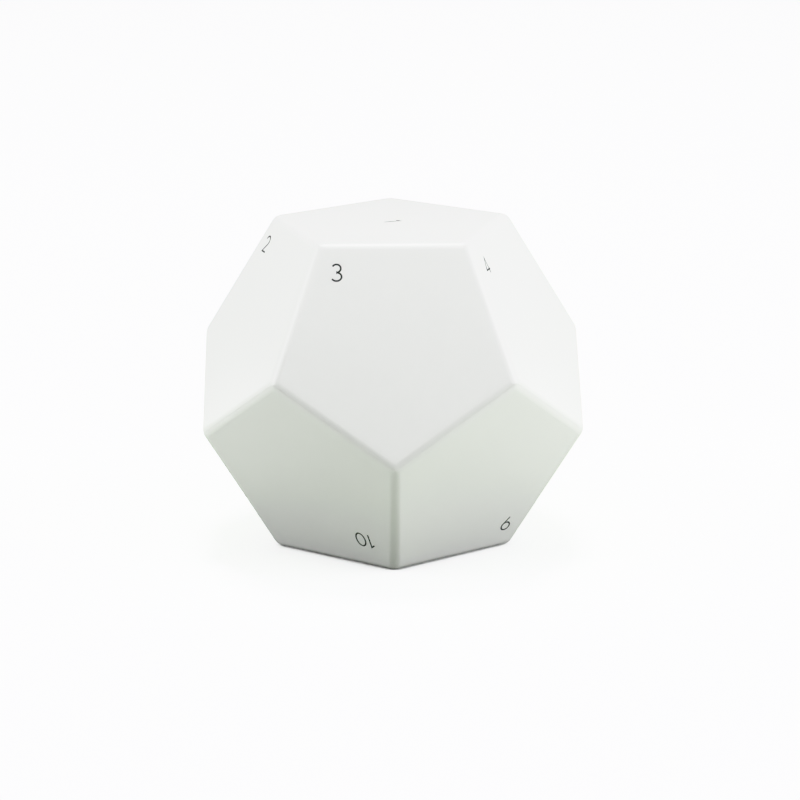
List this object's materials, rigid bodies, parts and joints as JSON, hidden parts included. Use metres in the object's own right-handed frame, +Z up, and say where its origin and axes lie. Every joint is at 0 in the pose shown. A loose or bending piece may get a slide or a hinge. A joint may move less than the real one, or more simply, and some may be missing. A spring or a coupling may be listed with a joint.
{
  "type": "twelve-sided numbered remote",
  "caption": "Palm-sized white dodecahedral remote; each flat face carries a small numeral, and a shell half twists and lifts off a battery chassis.",
  "frame": {"origin": "centre of the flat face it rests on (face 12), which is the bottom centre of the bounding box", "axes": "+Z up through the centre of the top face (face 1); -Y to the front through the azimuth of face 3; +X to the right"},
  "size_m": [0.0836, 0.0876, 0.072],
  "materials": {
    "shell": "satin moulded white, slightly translucent",
    "chassis": "fine moulded texture, off-white",
    "collar": "smooth moulded acetal, light grey",
    "board": "glass-epoxy board with a green solder mask",
    "chip": "moulded black epoxy",
    "capacitor": "moulded tan epoxy",
    "shield": "tinned sheet",
    "lens": "clear resin over a pale phosphor",
    "button": "soft-touch grey",
    "cell": "printed wrap over a metal can, plain blue-grey",
    "contact": "nickel-plated spring steel",
    "screw": "zinc-plated"
  },
  "bodies": {
    "lower_half": {"lower_shell": "shell", "chassis": "chassis", "circuit_board": "board", "radio_module": "board", "radio_shield": "shield", "motion_sensor": "chip", "crystal": "shield", "boost_inductor": "chip", "tank_capacitor": "capacitor", "switch_body": "chip", "positive_contact": "contact", "negative_contact": "contact", "bridge_contact": "contact", "front_cell_spring": "contact", "rear_cell_spring": "contact", "top_light_1": "lens", "bottom_light_1": "lens", "top_light_2": "lens", "bottom_light_2": "lens", "top_light_3": "lens", "bottom_light_3": "lens", "top_light_4": "lens", "bottom_light_4": "lens", "chassis_screw_1": "screw", "board_screw_1": "screw", "chassis_screw_2": "screw", "board_screw_2": "screw", "chassis_screw_3": "screw", "board_screw_3": "screw"},
    "snap_collar": {"snap_collar": "collar"},
    "upper_half": {"upper_shell": "shell"},
    "front_cell": {"front_cell": "cell"},
    "rear_cell": {"rear_cell": "cell"},
    "pairing_button": {"pairing_button": "button", "switch_plunger": "button"}
  },
  "joints": [
    {"name": "shell_lift", "type": "slide", "parent": "lower_half", "child": "snap_collar", "axis": [0, 0, 1], "range_m": [0, 0.0605]},
    {"name": "shell_twist", "type": "hinge", "parent": "snap_collar", "child": "upper_half", "pos_m": [0, 0, 0.036], "axis": [0, 0, 1], "range_deg": [0, 36]},
    {"name": "front_cell_lift", "type": "slide", "parent": "lower_half", "child": "front_cell", "axis": [0, 0, 1], "range_m": [0, 0.0135]},
    {"name": "rear_cell_lift", "type": "slide", "parent": "lower_half", "child": "rear_cell", "axis": [0, 0, 1], "range_m": [0, 0.0135]},
    {"name": "pairing_button_press", "type": "slide", "parent": "lower_half", "child": "pairing_button", "axis": [0, 0, -1], "range_m": [0, 0.0005]}
  ],
  "couplings": [
    {"joint": "shell_lift", "follows": "shell_twist", "m_per_rad": 0.095493}
  ]
}
